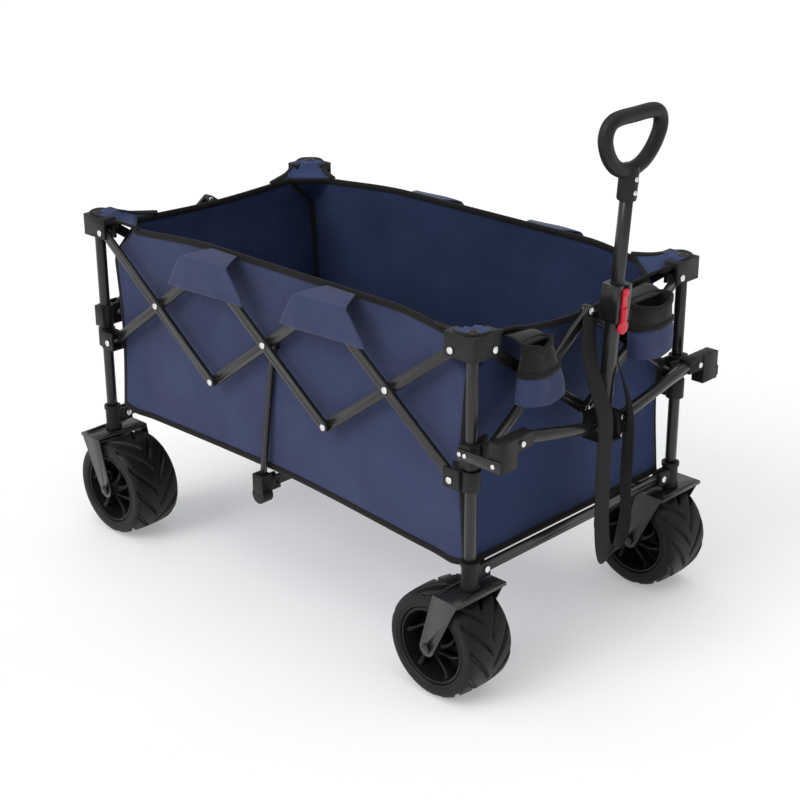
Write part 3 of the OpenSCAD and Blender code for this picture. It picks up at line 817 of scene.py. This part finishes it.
def build_cup(word):
    node = f"cup_{word}"
    low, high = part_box(node)
    centre = (low + high) / 2
    half_x, half_y = (high.x - low.x) / 2 - 0.002, (high.y - low.y) / 2 - 0.002
    count, rows = 72, 30
    seed = 4.0 if word == "left" else 9.0
    mouth, mouth_depth = CUP_MOUTH[word]

    def ring(h):
        across = mouth + (1.0 - mouth) * (1 - smoothstep(0.0, 1.0, h)) ** 0.8
        depth = mouth_depth + (1.0 - mouth_depth) * (1 - smoothstep(0.0, 1.0, h)) ** 0.8
        points = oval(centre, half_x * depth, half_y * across, low.z + (high.z - low.z) * h, count)
        for p in points:
            p.x -= half_x * (1 - depth) * 0.9
            outward = Vector((p.x - centre.x, p.y - centre.y, 0)).normalized()
            crease = noise.noise(Vector((p.x * 26, p.y * 26, h * 2.2 + seed)))
            p += outward * (0.0040 * crease * math.sin(math.pi * min(h * 1.2, 1)) - 0.0020)
            p.z -= 0.010 * smoothstep(0.6, 1.0, h) * max(0.0, outward.x)
            p.z -= 0.006 * (1 - h) * math.cos(2 * math.atan2(outward.y, outward.x)) * 0.5
        return points

    split = 0.50 if word == "left" else 0.56
    for part, h0, h1, material in (("panel", 0.0, split, M["navy"]), ("net", split, 1.0, M["net"])):
        verts = []
        for r in range(rows):
            verts += ring(h0 + (h1 - h0) * r / (rows - 1))
        faces = grid_faces(rows, count, wrap_columns=True)
        if part == "panel":
            faces.append(tuple(range(count)))
        obj = piece(f"cup_{part}_{word}", verts, faces, "front_frame", material,
                    [node] if part == "panel" else ())
        solidify(obj, CUP_CLOTH_T, -1.0)
        widest = ring(h0)
        width = sum((a - b).length for a, b in zip(widest, widest[1:] + widest[:1]))
    for edge, h, width in (("rim", 0.97, 0.011), ("waist", split, 0.008)):
        line = ring(h)
        frames = []
        for p in line:
            out = Vector((p.x - centre.x, p.y - centre.y, 0)).normalized()
            frames.append((Vector((0, 0, 1)), out))
        line = [p + f[1] * 0.0008 for p, f in zip(line, frames)]
        verts, faces = sweep(line, tape_section(width, 0.0036), frames, closed=True)
        piece(f"cup_{edge}_binding_{word}", verts, faces, "front_frame", M["binding"])
    build_cup_hanger(word, centre, half_y * mouth, high.z)


def build_cup_hanger(word, centre, half_y, top):
    """Cloth that carries the pocket's mouth from the front rim, over the end bars."""
    rows, columns = 14, 18
    verts = []
    for r in range(rows):
        t = r / (rows - 1)
        for c in range(columns):
            s = -1 + 2 * c / (columns - 1)
            y = centre.y + s * half_y * (1.02 - 0.10 * t)
            v = (y + TUB_HALF_W) / (2 * TUB_HALF_W)
            rim = end_point(min(max(v, 0.02), 0.98), 0.985, 1)
            mouth = Vector((centre.x - 0.012, y, top - 0.004))
            p = rim.lerp(mouth, t)
            p.y = y
            p.z += 0.007 * math.sin(math.pi * t)
            p.x += 0.0035 if t < 0.01 else 0.0
            verts.append(p)
    obj = piece(f"cup_hanger_{word}", verts, grid_faces(rows, columns), "front_frame", M["net"])
    solidify(obj, CUP_CLOTH_T, 1.0)


# ---- strap ------------------------------------------------------------------------------


STRAP_W = 0.038
STRAP_T = 0.0018


def build_strap():
    low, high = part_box("strap")
    x = high.x - STRAP_T / 2 - 0.0002
    wide_y, return_y = -0.039, 0.036
    top_x, top_z, bottom = low.x + 0.002, high.z - 0.004, low.z + 0.003
    points = [
        (top_x, -0.008, top_z), (top_x + 0.013, -0.025, 0.556), (top_x + 0.036, -0.037, 0.508),
        (x - 0.001, wide_y, 0.448), (x, wide_y, 0.38), (x - 0.001, wide_y + 0.001, 0.31),
        (x, wide_y + 0.003, 0.245), (x - 0.002, wide_y + 0.014, bottom + 0.014), (x - 0.004, -0.006, bottom),
        (x - 0.004, 0.018, bottom + 0.012), (x - 0.005, return_y - 0.002, 0.25),
        (x - 0.007, return_y - 0.004, 0.31),
        (x - 0.004, return_y - 0.006, 0.38), (x - 0.004, return_y - 0.008, 0.448),
        (top_x + 0.036, return_y - 0.010, 0.515), (top_x + 0.014, return_y - 0.012, 0.560),
        (top_x, return_y - 0.014, top_z),
    ]
    line = round_path(points, 200)
    frames = []
    for i in range(len(line)):
        t = i / (len(line) - 1)
        step = (line[min(i + 1, len(line) - 1)] - line[max(i - 1, 0)]).normalized()
        turn = math.radians(66) * smoothstep(0.42, 0.60, t) - math.radians(40) * smoothstep(0.72, 0.98, t)
        flat = Vector((1, 0, 0)) - step * step.x
        flat = flat.normalized() if flat.length > 0.2 else Vector((0, 0, 1))
        width = step.cross(flat).normalized()
        rotate = Matrix.Rotation(turn, 3, step)
        frames.append((rotate @ width, rotate @ flat))
    verts, faces = sweep(line, tape_section(STRAP_W, STRAP_T), frames)
    obj = piece("strap_webbing", verts, faces, "front_frame", M["webbing"], ["strap"])


# ---- wheels -----------------------------------------------------------------------------

TYRE_R = TYRE_HIGH.z / 2
TYRE_HALF = (TYRE_HIGH.y - TYRE_LOW.y) / 2
LUGS = 12
LUG_DEPTH = 0.0050
WALL_RING_SHARE = 0.775
BEAD_SHARE = 0.704
SEAT_SHARE = 0.88


def tyre_profile():
    """Radius and half width of the carcass, from one bead to the other."""
    shape = [(0.706, 0.90), (0.720, 0.965), (0.745, 0.992), (0.80, 1.0), (0.87, 0.997), (0.915, 0.975),
             (0.950, 0.92), (0.972, 0.82), (0.984, 0.66), (0.993, 0.45), (0.999, 0.22), (1.0, 0.0)]
    points = [(r * TYRE_R, w * TYRE_HALF) for r, w in shape]
    dense = []
    for (r0, w0), (r1, w1) in zip(points, points[1:]):
        dense += [(r0 + (r1 - r0) * k / 4, w0 + (w1 - w0) * k / 4) for k in range(4)]
    dense.append(points[-1])
    return [(r, -w) for r, w in dense] + [(r, w) for r, w in reversed(dense[:-1])]


def lug_height(theta, w, r):
    """1 on a lug, 0 in a groove: curved chevrons that run from the middle to the shoulder."""
    reach = abs(w) / TYRE_HALF
    swept = 1.45 * reach ** 0.9
    offset = 0.5 if w > 0 else 0.0
    phase = (theta / TAU * LUGS + swept + offset) % 1.0
    edge = min(phase, 1 - phase) * 2
    groove = 0.17 + 0.10 * reach
    lug = smoothstep(groove - 0.07, groove + 0.07, edge)
    centre_rib = smoothstep(0.08, 0.03, reach)
    tread = smoothstep(0.925, 0.955, r / TYRE_R)
    return max(lug, centre_rib) * tread + (1 - tread)


def build_tyre(name, centre, body):
    profile = tyre_profile()
    count = 420
    verts = []
    for i in range(count):
        theta = TAU * i / count
        for r, w in profile:
            groove = LUG_DEPTH * (1 - lug_height(theta, w, r))
            on_wall = abs(w) > 0.9 * TYRE_HALF
            ring = smoothstep(0.0016, 0.0, abs(r - WALL_RING_SHARE * TYRE_R)) if on_wall else 0.0
            wall_line = 0.0010 * ring
            shoulder = smoothstep(0.82, 1.0, abs(w) / TYRE_HALF)
            radius = r - groove * (1 - 0.6 * shoulder)
            half = w - math.copysign(groove * 0.8 * shoulder + wall_line, w) if w else 0.0
            verts.append(centre + Vector((radius * math.sin(theta), half, radius * math.cos(theta))))
    columns = len(profile)
    bead, seat = BEAD_SHARE * TYRE_R, SEAT_SHARE * TYRE_HALF
    inner = [centre + Vector((bead * math.sin(TAU * i / count), s * seat, bead * math.cos(TAU * i / count)))
             for i in range(count) for s in (-1, 1)]
    faces = grid_faces(count, columns, wrap_rows=True)
    base = len(verts)
    verts += inner
    for i in range(count):
        j = (i + 1) % count
        faces.append((i * columns, j * columns, base + 2 * j, base + 2 * i))
        faces.append((base + 2 * i + 1, base + 2 * j + 1, (j + 1) * columns - 1, (i + 1) * columns - 1))
        faces.append((base + 2 * i, base + 2 * j, base + 2 * j + 1, base + 2 * i + 1))
    obj = piece(f"{name}_tread", verts, faces, body, M["tyre"], [name])
    obj.data.set_sharp_from_angle(angle=math.radians(45))


SPOKES = 6


def build_hub(name, centre, body):
    """Deep dished hub: rim, bead lips, curved spokes on both faces and a stepped boss."""
    axis = Vector((0, 1, 0))
    half = 0.0440
    rim = [(0.0667, -half), (0.0664, -half - 0.0040), (0.0645, -half - 0.0050), (0.0622, -half - 0.0040),
           (0.0608, -half + 0.004), (0.0585, -0.012), (0.0585, 0.012), (0.0608, half - 0.004),
           (0.0622, half + 0.0040), (0.0645, half + 0.0050), (0.0664, half + 0.0040), (0.0667, half)]
    lathe(f"{name}_rim", rim, centre, axis, 120, body, M["hub"], [name])
    boss = [(0.0055, -0.0515), (0.0085, -0.0525), (0.0125, -0.0505), (0.0132, -0.044), (0.0155, -0.040),
            (0.0175, -0.022), (0.0175, 0.022), (0.0155, 0.040), (0.0132, 0.044), (0.0125, 0.0505),
            (0.0085, 0.0525), (0.0055, 0.0515)]
    lathe(f"{name}_boss", boss, centre, axis, 64, body, M["hub"])
    web = [(0.012, -0.004), (0.036, -0.003), (0.060, -0.004), (0.060, 0.004), (0.036, 0.003), (0.012, 0.004)]
    lathe(f"{name}_web", web, centre, axis, 64, body, M["hub"])
    verts, faces = [], []
    steps = 14
    for face in (-1, 1):
        for k in range(SPOKES):
            path, frames = [], []
            for i in range(steps):
                t = i / (steps - 1)
                r = 0.0145 + (0.0600 - 0.0145) * t
                angle = TAU * k / SPOKES + 0.46 * math.sin(math.pi * (t - 0.5)) * face
                d = Vector((math.sin(angle), 0, math.cos(angle)))
                depth = face * (0.036 - 0.014 * math.sin(math.pi * t) + 0.001 * t)
                path.append(centre + d * r + axis * depth)
                frames.append((Vector((d.z, 0, -d.x)), axis * face))
            wide = 0.0042
            section = [(-wide, -0.012), (wide, -0.012), (wide, 0.003), (wide * 0.6, 0.0048),
                       (-wide * 0.6, 0.0048), (-wide, 0.003)]
            v, f = sweep(path, section, frames)
            faces += [tuple(len(verts) + n for n in face_) for face_ in f]
            verts += v
    spokes = piece(f"{name}_spokes", verts, faces, body, M["hub"])
    spokes.data.set_sharp_from_angle(angle=math.radians(40))


def build_wheels():
    for end in ("rear", "front"):
        for word in SIDES:
            low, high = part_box(f"tyre_{end}_{word}")
            centre = (low + high) / 2
            body = f"wheel_{end}_{word}"
            build_tyre(f"tyre_{end}_{word}", centre, body)
            build_hub(f"hub_{end}_{word}", centre, body)


# ---- handle -----------------------------------------------------------------------------


GRIP_COLLAR_Z = 0.105 + 0.300


def build_grip():
    axis = Vector(JOINTS["handle_slide"]["axis"]).normalized()
    pivot = Vector(JOINTS["handle_tilt"]["pos_m"])
    base = pivot + axis * GRIP_COLLAR_Z
    across = Vector((0, 1, 0))
    outline = [(0, 0.026), (-0.030, 0.033), (-0.053, 0.052), (-0.0672, 0.078), (-0.0670, 0.097),
               (-0.0570, 0.109), (-0.0380, 0.1135), (0, 0.1135)]
    outline = outline + [(-a, b) for a, b in reversed(outline[1:-1])]
    pts = [base + across * a + axis * b for a, b in outline]
    n = len(pts)
    line = []
    for k in range(n):
        a, b, c, d = pts[k - 1], pts[k], pts[(k + 1) % n], pts[(k + 2) % n]
        for i in range(8):
            t = i / 8
            line.append(0.5 * ((2 * b) + (c - a) * t + (2 * a - 5 * b + 4 * c - d) * t ** 2
                               + (3 * b - a - 3 * c + d) * t ** 3))
    normal = across.cross(axis).normalized()
    section = [(0.0122 * math.cos(TAU * i / 20), 0.0118 * math.sin(TAU * i / 20)) for i in range(20)]
    frames = []
    for i in range(len(line)):
        step = line[(i + 1) % len(line)] - line[i - 1]
        frames.append((step.cross(normal).normalized(), normal))
    verts, faces = sweep(line, section, frames, closed=True)
    piece("grip_loop", verts, faces, "handle_upper", M["plastic"], ["grip"])
    collar = [(0.0112, -0.022), (0.0150, -0.0215), (0.0160, -0.019), (0.0160, 0.012), (0.0155, 0.018),
              (0.0165, 0.024), (0.0150, 0.032), (0.0100, 0.036), (0.0001, 0.037),
              (0.0001, 0.002), (0.0112, 0.0015)]
    lathe("grip_collar", collar, base, axis, 48, "handle_upper", M["plastic"])
    for k, up in enumerate((-0.008, 0.014)):
        for sign in (-1, 1):
            centre = base + axis * up + normal * sign * 0.0155
            head = [(0.0001, 0.0026), (0.0025, 0.0022), (0.0040, 0.0008), (0.0042, 0), (0.0001, 0)]
            side = "front" if sign > 0 else "back"
            lathe(f"grip_rivet_{side}_{k}", head, centre, normal * sign, 24, "handle_upper", M["metal"],
                  closed=False)


# ---- frame ------------------------------------------------------------------------------


def build_frame():
    steel = ["side_bars_1", "side_bars_2", "side_bars_3", "side_bars_4", "side_bars_5", "side_bars_6",
             "end_bars_rear", "end_bars_front", "floor_bar_rear", "floor_bar_front", "floor_bar_centre"]
    for node in steel:
        rounded_copy(node, 0.0022, M["steel"], 3)
    for node in ("fork_rear_left", "fork_rear_right", "fork_front_left", "fork_front_right"):
        rounded_copy(node, 0.0011, M["steel"], 2)
        build_fork_ribs(node)
    for node in ("caps_rear", "caps_front", "sockets_rear", "sockets_front", "brackets_rear",
                 "brackets_front", "sliders_rear", "sliders_front", "centre_feet", "handle_block"):
        rounded_copy(node, 0.0026, M["plastic"], 3)
    for node in ("posts_rear", "posts_front", "crossbar", "plates_front", "centre_legs", "handle_outer"):
        rounded_copy(node, 0.0008, M["steel"], 2)
    rounded_copy("handle_inner", 0.0004, M["steel"], 1)
    rounded_copy("latch", 0.0014, M["red"], 3)
    for node in ("rivets_rear", "rivets_front", "rivets_bar_1", "rivets_bar_2", "rivets_bar_3",
                 "rivets_bar_4", "rivets_bar_6"):
        rounded_copy(node, 0.0016, M["metal"], 3)
    for node in ("axles_rear", "axle_front_left", "axle_front_right"):
        rounded_copy(node, 0.0008, M["steel"], 2)


FORK_TOP = 0.197
RIB_OFFSET = 0.0225


def build_fork_ribs(node):
    """Two pressed ribs across the top plate."""
    low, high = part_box(node)
    front = "front" in node
    stem_x = FRONT_POST_X if front else REAR_POST_X
    stem_y = (low.y + high.y) / 2
    for k, dx in enumerate((-RIB_OFFSET, RIB_OFFSET)):
        path = [Vector((stem_x + dx, stem_y - 0.050 + 0.100 * i / 20, FORK_TOP - 0.0004)) for i in range(21)]
        frames = [(Vector((1, 0, 0)) * max(0.15, math.sin(math.pi * min(1, max(0, i / 20))) ** 0.35),
                   Vector((0, 0, 1)) * max(0.1, math.sin(math.pi * i / 20) ** 0.35)) for i in range(21)]
        section = [(0.0035 * math.cos(TAU * j / 12), 0.0034 * math.sin(TAU * j / 12)) for j in range(12)]
        verts, faces = sweep(path, section, frames)
        piece(f"{node}_rib_{k}", verts, faces, body_of_node(node), M["steel"])


# ---- build ------------------------------------------------------------------------------

make_camera()
make_studio()
NAVY_DARK, NAVY_MID, NAVY_LIGHT = (0.022, 0.029, 0.075), (0.028, 0.038, 0.093), (0.037, 0.049, 0.114)
# darker navy for the faces inside the tub: painted shade of the interior
INSIDE_SHADE_DARK, INSIDE_SHADE_MID, INSIDE_SHADE_LIGHT = (0.013, 0.022, 0.058), (0.018, 0.030, 0.076), (0.025, 0.040, 0.095)
# bluer, darker copy of the same navy for the end cloths and corner tabs: painted shade
END_SHADE_DARK, END_SHADE_MID, END_SHADE_LIGHT = (0.014, 0.025, 0.074), (0.020, 0.034, 0.094), (0.028, 0.046, 0.118)
M = {
    "navy": fabric_material("navy_cloth", NAVY_DARK, NAVY_MID, NAVY_LIGHT, 0.12),
    "navy_shaded_end": fabric_material("navy_shaded_end_cloth", END_SHADE_DARK, END_SHADE_MID, END_SHADE_LIGHT, 0.05),
    "inside_shade": fabric_material("navy_painted_inside_shade", INSIDE_SHADE_DARK, INSIDE_SHADE_MID, INSIDE_SHADE_LIGHT, 0.0),
    "binding": fabric_material("binding_tape", grey(0.004), grey(0.007, 0.03), grey(0.012, 0.05), 0.05),
    "thread": fabric_material("thread", (0.04, 0.05, 0.11), (0.06, 0.07, 0.15), (0.09, 0.10, 0.2), 0.2),
    "webbing": webbing_material(),
    "net": net_material(),
    "steel": coated_steel(),
    "plastic": moulded("moulded_black", grey(0.008), grey(0.016, 0.03), 0.36, 0.55),
    "hub": moulded("hub_black", grey(0.006), grey(0.011), 0.30, 0.5),
    "red": moulded("latch_red", (0.55, 0.018, 0.035), (0.68, 0.035, 0.055), 0.25, 0.4, 700),
    "metal": bright_metal(),
    "tyre": tyre_material(),
}

build_tub()
for cup_word in SIDES:
    build_cup(cup_word)
build_strap()
build_wheels()
build_grip()
build_frame()
